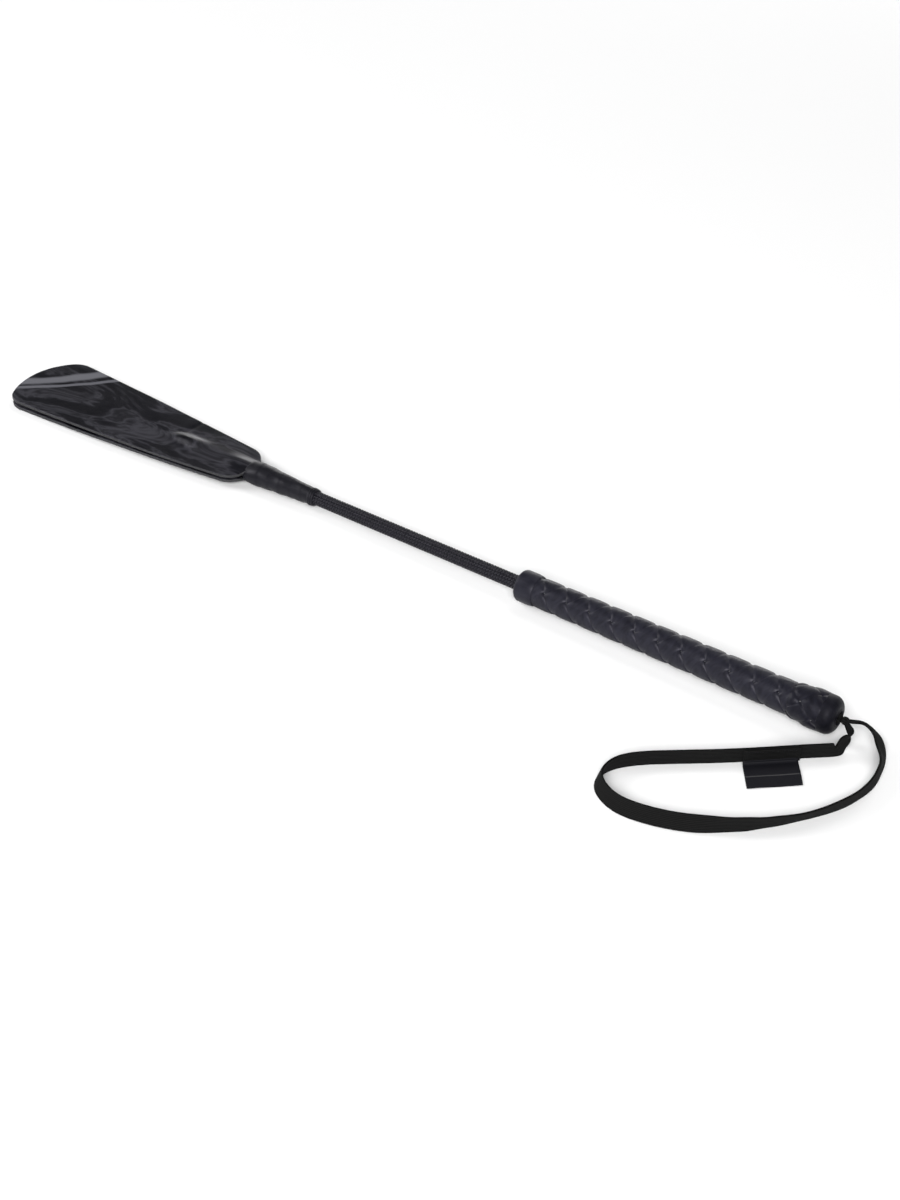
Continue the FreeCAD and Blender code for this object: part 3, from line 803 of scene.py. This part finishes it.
def fill(polygon):
    """Triangles over the polygon, on its own points and an even net of points inside it."""
    margin = inset_points(polygon, FILL_STEP * FILL_MARGIN_SHARE)
    net = []
    row = 0
    y = -FILL_HALF_WIDTH
    while y < FILL_HALF_WIDTH:
        x = FILL_START + (row % 2) * FILL_STEP / 2
        while x < TONGUE_END:
            if inside((x, y), margin):
                net.append((x, y))
            x += FILL_STEP
        y += FILL_STEP * FILL_ROW_SHARE
        row += 1
    corners = [Vector(place) for place in polygon + net]
    sides = [(i, (i + 1) % len(polygon)) for i in range(len(polygon))]
    found = geometry.delaunay_2d_cdt(corners, sides, [], KEEP_INSIDE, MERGE_DISTANCE)
    return [(point.x, point.y) for point in found[0]], found[2]


def leaf_height(station, across, side):
    """Middle of the leather above the crop's middle plane for side 1, or below it for side -1."""
    flat = LEAF_GAP / 2 + LEAF_THICK / 2
    reach = FLEX_STATION - station
    splay = math.sin(LEAF_SPLAY) * (reach + math.sqrt(reach * reach + SPLAY_BEND * SPLAY_BEND)) / 2
    spread = along_keys(RIDGE_NEAR_SPREAD if across < 0 else RIDGE_FAR_SPREAD, station)
    share = min(1.0, abs(across) / (spread * along_keys(RIDGE_WIDTH, station)))
    tent = 0.5 + 0.5 * math.cos(math.pi * share)
    ridge = along_keys(RIDGE_HEIGHT, station) * tent * (1.0 if side > 0 else LOWER_RIDGE_SHARE)
    crease = 0.0
    if side > 0:
        line = CREASE_STATION + CREASE_SLOPE * across
        far_side = smooth_step(*CREASE_EDGE, across)
        crease = -CREASE_DEPTH * math.exp(-((station - line) / CREASE_WIDTH) ** 2) * far_side
        crease += SWELL_HEIGHT * math.exp(-((station - line + SWELL_DISTANCE) / SWELL_WIDTH) ** 2) * far_side
    free = 1 - smooth_step(*RIPPLE_FADE, station)
    wave = noise.noise(Vector((station / RIPPLE_LENGTH, across / RIPPLE_BREADTH, RIPPLE_PLACE * side)))
    ripple = RIPPLE_HEIGHT * wave * (RIPPLE_LEAST + (1 - RIPPLE_LEAST) * free)
    if side < 0:
        ripple *= LOWER_RIPPLE_SHARE
    return side * (flat + splay + ridge) + crease + ripple


def leaf(name, side, body, replaced):
    """A whole leaf: two faces and the rounded edge between them, bent at the flex station."""
    build = Build()
    outline = leaf_outline()
    half = LEAF_THICK / 2
    inner = inset_points(outline, EDGE_RINGS[0][0])
    net, triangles = fill(inner)
    for level in (1, -1):
        first = len(build.points)
        for x, y in net:
            build.points.append(at(x, y, leaf_height(x, y, side) + level * half))
            build.flat.append((x * MM, y * MM, level * half * MM))
        for corners in triangles:
            build.add_face([first + corner for corner in corners])
    rim_start = len(build.points)
    rings = [(inset, half - depth) for inset, depth in EDGE_RINGS]
    rings += [(inset, -height) for inset, height in reversed(rings)]
    for inset, height in rings:
        for x, y in inset_points(outline, inset):
            build.points.append(at(x, y, leaf_height(x, y, side) + height))
            build.flat.append((x * MM, y * MM, height * MM))
    size = len(outline)
    for row in range(len(rings) - 1):
        look = 0 if row in (0, len(rings) - 2) else 1
        for i in range(size):
            j = (i + 1) % size
            here = rim_start + row * size
            build.add_face([here + i, here + j, here + size + j, here + size + i], look)
    build.piece(name, [leaf_look, edge_look], body, replaced,
                ("crop", body, at(FLEX_STATION + FLEX_REACH), at(FLEX_STATION - FLEX_REACH)))


leaf("upper_leaf_leather", 1, "upper_leaf", ["upper_leaf", "upper_leaf_root"])
leaf("lower_leaf_leather", -1, "lower_leaf", ["lower_leaf", "lower_leaf_root"])

# ---------------- binding and ring
# The wrap as (station, half width, half height).
BINDING_SHAPE = [(195.6, 8.6, 5.5), (199.0, 8.8, 6.0), (206.0, 8.8, 6.6), (222.5, 7.3, 6.2),
                 (240.0, 5.9, 5.7), (246.8, 5.4, 5.4)]
BINDING_START = 195.6
BINDING_STEP = 0.6
BINDING_RINGS = 86
BINDING_COUNT = 72
BINDING_RADIUS = 6.5
# Each turn of the wrap is this long along the axis. It climbs to a low step and drops over its last part.
WRAP_PITCH = 8.5
WRAP_STEP = 0.18
WRAP_CLIMB = 0.9
WRAP_DROP = 9
# The wrap's soft unevenness: its height, its length along, how quickly it changes round, and where it starts.
LUMP_HEIGHT = 0.42
LUMP_LENGTH = 9
LUMP_ROUND = 1.4
LUMP_START = (196, 199)
# The front lip is rounded. Its curve starts at this share of the full size, a little in front of the first
# ring, and is fully grown within the reach.
LIP_LEAST = 0.75
LIP_OFFSET = 0.1
LIP_REACH = 1.3


def binding():
    """The leather wrap: an oval that tapers to the shaft, with a low step along each turn and a front lip."""
    build = Build()
    loops = []
    flats = []
    wide = [(station, width) for station, width, height in BINDING_SHAPE]
    tall = [(station, height) for station, width, height in BINDING_SHAPE]
    for row in range(BINDING_RINGS):
        station = BINDING_START + BINDING_STEP * row
        loop = []
        flat = []
        rounded = math.sqrt(min(1.0, (station - BINDING_START + LIP_OFFSET) / LIP_REACH))
        lip = LIP_LEAST + (1 - LIP_LEAST) * rounded
        fade = smooth_step(*LUMP_START, station)
        for turn in turns_round(BINDING_COUNT):
            wrap = (station / WRAP_PITCH - turn / (2 * math.pi)) % 1
            step = WRAP_STEP * (wrap if wrap < WRAP_CLIMB else (1 - wrap) * WRAP_DROP) - WRAP_STEP / 3
            place = Vector((station / LUMP_LENGTH, math.cos(turn) * LUMP_ROUND, math.sin(turn) * LUMP_ROUND))
            scale = lip * (1 + (step + LUMP_HEIGHT * noise.noise(place)) * fade / BINDING_RADIUS)
            half_width = along_keys(wide, station) * scale
            half_height = along_keys(tall, station) * scale
            loop.append(at(station, half_width * math.cos(turn), half_height * math.sin(turn)))
            flat.append((station * MM, turn * BINDING_RADIUS * MM, 0))
        loops.append(loop)
        flats.append(flat)
    build.skin(loops, flats)
    build.piece("binding_wrap", [binding_look], "crop", ["root_binding"])


binding()

RING_START = 247.2
RING_PITCH = 1.35
RING_RADII = (5.15, 5.1, 4.8)
RING_CORD = 0.72
RING_CORD_SIDES = 10
RING_UNEVEN = 0.05

ring_build = Build()
for index, ring_radius in enumerate(RING_RADII):
    loops = []
    for turn in turns_round(BINDING_COUNT):
        radius = ring_radius + RING_UNEVEN * math.sin(5 * turn + index)
        loop = []
        for small in turns_round(RING_CORD_SIDES):
            reach = radius + RING_CORD * math.cos(small)
            station = RING_START + RING_PITCH * index + RING_CORD * math.sin(small)
            loop.append(at(station, reach * math.cos(turn), reach * math.sin(turn)))
        loops.append(loop)
    ring_build.skin(loops, round_closed=True)
ring_build.piece("binding_ring_cord", [binding_look], "crop", ["binding_ring"])


# ---------------- braids and plaits
# The side of the crop that faces the camera, as an angle round the axis.
CAMERA_SIDE = math.radians(135.7)
STRIP_EDGE_POWER = 6


@dataclass
class Plait:
    """Strips that run both ways round the axis and pass over and under each other.

    lead is how far along the axis a strip goes in one turn, count how many strips go each way, and share how
    much of its room each strip fills. rise lifts a strip where it passes over another, and crown lowers its
    edges. shift and turned move the pattern along the axis and round it. proud lifts the first family over
    the second. gathered draws the pattern together on the side that faces the camera and on the opposite one.
    """

    radius_at: object
    lead: float
    count: int
    share: float
    thick: float
    rise: float
    crown: float
    columns: int
    shift: float = 0.0
    turned: float = 0.0
    proud: float = 0.0
    gathered: float = 0.0

    def section(self, family, index, station, run):
        """One closed section of a strip and its flat coordinates."""
        turns = (station - self.shift) / self.lead
        radius_here = self.radius_at(station)
        wide = self.lead / self.count * math.sin(math.atan2(2 * math.pi * radius_here, self.lead))
        start = index * 0.07 + family * 0.31
        loop = []
        flats = []
        for level in (1, -1):
            for i in range(self.columns + 1):
                across = level * (2 * i / self.columns - 1)
                own = index + across * self.share / 2
                other = own + family * 2 * self.count * turns
                wave = math.cos(math.pi * (other - index))
                height = family * (self.rise * math.tanh(5 * wave) + self.proud)
                body = level * self.thick / 2 * (1 - abs(across) ** STRIP_EDGE_POWER) ** 0.5
                radius = radius_here + height + body - self.crown * across * across
                turn = 2 * math.pi * (own / self.count + family * turns) + self.turned
                turn -= self.gathered * math.sin(2 * (turn - CAMERA_SIDE))
                loop.append(at(station, radius * math.cos(turn), radius * math.sin(turn)))
                flats.append((run * MM + start, across * wide / 2 * MM, level * self.thick / 2 * MM))
        return loop, flats

    def strips(self, build, start, end, step, second_look=0):
        """All the strips from start to end. Those of the second family can have a look of their own."""
        steps = max(2, round((end - start) / step))
        for family in (1, -1):
            for index in range(self.count):
                sections = []
                for row in range(steps + 1):
                    station = start + (end - start) * row / steps
                    helix = math.atan2(2 * math.pi * self.radius_at(station), self.lead)
                    sections.append(self.section(family, index, station, (station - start) / math.cos(helix)))
                look = 0 if family > 0 else second_look
                build.skin(*zip(*sections), look)


SLEEVE_START, SLEEVE_END = 248.0, 409.0
SLEEVE_RADIUS = 3.95
LINING_RADIUS = 3.7
LINING_COUNT = 32
sleeve = Build()
sleeve.skin([ring(station, LINING_RADIUS, LINING_COUNT) for station in (SLEEVE_START + 1, SLEEVE_END)])
braid = Plait(lambda station: SLEEVE_RADIUS, lead=24.0, count=12, share=0.96, thick=0.5, rise=0.26,
              crown=0.42, columns=6)
# The second family wears the paler yarn, which paints in glints of light.
braid.strips(sleeve, start=SLEEVE_START, end=SLEEVE_END, step=0.55, second_look=1)
sleeve.piece("shaft_sleeve", [yarn_look, glint_painted_yarn_look], "crop", ["shaft_braid"])

# The grip grows in radius from the collar to the knob. Its ends are tucked in under them, and the front of
# the knob's cover under the grip, each by so many millimetres between two stations.
GRIP_TAPER_START = 406.5
GRIP_TAPER_END = 583.0
GRIP_RADIUS = 8.1
GRIP_GROWTH = 0.5
GRIP_FRONT = (412, 419)
GRIP_FRONT_TUCK = 0.3
GRIP_REAR = (583, 591)
GRIP_REAR_TUCK = 1.6
KNOB_SHAPE = [(583, 9.5), (589, 10.5), (598, 11.4), (604, 11.1), (607, 10.4)]
KNOB_STRIP_DEPTH = 1.0
KNOB_FRONT = (580, 587)
KNOB_FRONT_TUCK = 1.6


def handle_radius(station):
    grown = GRIP_RADIUS + GRIP_GROWTH * (station - GRIP_TAPER_START) / (GRIP_TAPER_END - GRIP_TAPER_START)
    front = GRIP_FRONT_TUCK * (1 - smooth_step(*GRIP_FRONT, station))
    return grown - front - GRIP_REAR_TUCK * smooth_step(*GRIP_REAR, station)


def knob_radius(station):
    front = KNOB_FRONT_TUCK * (1 - smooth_step(*KNOB_FRONT, station))
    return along_keys(KNOB_SHAPE, station) - KNOB_STRIP_DEPTH - front


handle = Build()
handle_plait = Plait(handle_radius, lead=30.6, count=2, share=0.965, thick=1.3, rise=0.27, crown=0.2,
                     columns=12, shift=-3.0, turned=CAMERA_SIDE + math.pi / 2, proud=0.12, gathered=0.18)
handle_plait.strips(handle, start=408.6, end=591.0, step=0.45)
handle.piece("handle_plait_strips", [grip_look], "crop", ["handle_plait"])

knob = Build()
knob_plait = Plait(knob_radius, lead=70.0, count=4, share=0.96, thick=1.2, rise=0.5, crown=0.2, columns=10,
                   shift=583.0, turned=CAMERA_SIDE)
knob_plait.strips(knob, start=580.0, end=606.5, step=0.5)
knob.piece("knob_plait_strips", [knob_look], "crop", ["knob_cover"])


def quarter_turn(steps):
    """The cosine and sine of evenly spaced angles from 0 to 90 degrees."""
    return [(math.cos(math.pi / 2 * i / steps), math.sin(math.pi / 2 * i / steps)) for i in range(steps + 1)]


TURNED_COUNT = 96
# The leather's slight unevenness: its height, its length along and how quickly it changes round.
UNEVEN_HEIGHT = 0.06
UNEVEN_LENGTH = 7
UNEVEN_ROUND = 1.6


def turned_piece(name, profile, look, replaced):
    """A round piece of slightly uneven leather: profile is a closed line of (station, radius)."""
    build = Build()
    loops = []
    for station, radius in profile:
        loop = []
        for turn in turns_round(TURNED_COUNT):
            around = (UNEVEN_ROUND * math.cos(turn), UNEVEN_ROUND * math.sin(turn))
            reach = radius + UNEVEN_HEIGHT * noise.noise(Vector((station / UNEVEN_LENGTH, *around)))
            loop.append(at(station, reach * math.cos(turn), reach * math.sin(turn)))
        loops.append(loop)
    build.skin(loops, round_closed=True)
    build.piece(name, [look], "crop", replaced)


COLLAR_FRONT = 405.0
COLLAR_ROUND = 2.6
COLLAR_SHOULDER = 7.15
CAP_RADIUS = 11.1
CAP_FLAT = 5.4
CAP_RIM = 606.6
CAP_RISE = 5.6


def collar():
    """A cup of leather: its front face, the rounded shoulder, the skirt that thins out, and the inside."""
    profile = [(COLLAR_FRONT, 4.6), (COLLAR_FRONT, 5.5)]
    profile += [(COLLAR_FRONT + COLLAR_ROUND * (1 - cosine), COLLAR_SHOULDER + COLLAR_ROUND * sine)
                for cosine, sine in quarter_turn(10)]
    profile += [(410.0, 9.8), (412.5, 9.8), (414.5, 9.75), (416.0, 9.6), (417.2, 9.35), (418.0, 9.0)]
    profile += [(418.1, 8.7), (416.0, 8.5), (411.0, 8.5), (407.3, 8.3), (407.0, 4.6)]
    turned_piece("collar_cup", profile, collar_look, ["front_collar"])


def cap():
    """A shallow dome with a rounded rim, and the strap's hole through its middle."""
    profile = [(603.6, 9.6), (603.7, 10.9), (604.2, CAP_RADIUS)]
    profile += [(CAP_RIM + CAP_RISE * sine, CAP_FLAT + (CAP_RADIUS - CAP_FLAT) * cosine)
                for cosine, sine in quarter_turn(12)]
    profile += [(612.5, 5.0), (612.55, 4.6), (612.3, 4.15), (611.6, 4.0), (610.0, 3.95), (609.6, 3.95)]
    profile += [(609.4, 9.0)]
    turned_piece("cap_dome", profile, cap_look, ["butt_cap"])


collar()
cap()

# ---------------- CAD nodes that stay
INNER_LOOKS = {
    "core_rod": inner_look("fibreglass_rod", (0.35, 0.34, 0.28), 0.35),
    "handle_core": inner_look("moulded_filler", (0.12, 0.12, 0.12), 0.6),
    "knob_core": inner_look("moulded_knob", (0.10, 0.10, 0.10), 0.6),
    "strap_anchor_pin": inner_look("drawn_steel", (0.45, 0.45, 0.46), 0.3, 1.0),
    "front_whipping": stitch_look,
}
for node, look in INNER_LOOKS.items():
    materials = frame["nodes"][node].data.materials
    materials.clear()
    materials.append(look)


# ---------------- floor and light
FLOOR_REACH = 2.4
FLOOR_TONE = 0.93
# How bright the surroundings are, from the horizon up to straight overhead.
SKY_TONES = ((0.0, 0.95), (0.2, 0.45), (0.42, 0.13), (1.0, 0.10))
ORIGIN = (0, 0, 0)
# Each lamp: its name, place, aim, size and power.
LAMPS = (
    ("front", (0.9, -1.5, 1.3), ORIGIN, (1.4, 1.0), 54),
    ("left", (-1.7, -0.5, 1.1), ORIGIN, (1.0, 1.0), 22),
    ("back", (-0.6, 1.9, 0.28), ORIGIN, (2.2, 0.3), 12),
    ("far", (0.3, 1.9, 2.2), (0.3, 1.9, 0), (2.0, 2.0), 24),
)


def add_floor():
    mesh = bpy.data.meshes.new("floor")
    corners = [(FLOOR_REACH * x, FLOOR_REACH * y, 0) for x, y in ((-1, -1), (1, -1), (1, 1), (-1, 1))]
    mesh.from_pydata(corners, [], [(0, 1, 2, 3)])
    floor = bpy.data.objects.new("floor", mesh)
    bpy.context.collection.objects.link(floor)
    look = bpy.data.materials.new("pale_floor")
    look.use_nodes = True
    shader = look.node_tree.nodes["Principled BSDF"]
    shader.inputs["Base Color"].default_value = (FLOOR_TONE, FLOOR_TONE, FLOOR_TONE, 1)
    shader.inputs["Roughness"].default_value = 0.9
    mesh.materials.append(look)


def add_softbox(name, place, aim, size, power):
    data = bpy.data.lights.new(name, "AREA")
    data.shape = "RECTANGLE"
    data.size, data.size_y = size
    data.energy = power
    lamp = bpy.data.objects.new(name, data)
    lamp.location = place
    lamp.rotation_euler = (Vector(aim) - Vector(place)).to_track_quat("-Z", "Y").to_euler()
    bpy.context.collection.objects.link(lamp)


def add_light():
    """A bright band round the horizon, as from a pale sweep, under a dimmer ceiling, and soft lamps."""
    world = bpy.data.worlds.new("studio")
    world.use_nodes = True
    nodes = world.node_tree.nodes
    links = world.node_tree.links
    place = nodes.new("ShaderNodeTexCoord")
    split = nodes.new("ShaderNodeSeparateXYZ")
    ramp = nodes.new("ShaderNodeValToRGB")
    elements = ramp.color_ramp.elements
    elements.new(0.5)
    elements.new(0.5)
    for element, (height, tone) in zip(elements, SKY_TONES):
        element.position = height
        element.color = (tone, tone, tone, 1)
    links.new(place.outputs["Generated"], split.inputs["Vector"])
    links.new(split.outputs["Z"], ramp.inputs["Fac"])
    links.new(ramp.outputs["Color"], nodes["Background"].inputs["Color"])
    nodes["Background"].inputs["Strength"].default_value = 1.0
    bpy.context.scene.world = world
    for lamp in LAMPS:
        add_softbox(*lamp)
    bpy.context.scene.view_settings.view_transform = "Standard"


add_floor()
add_light()
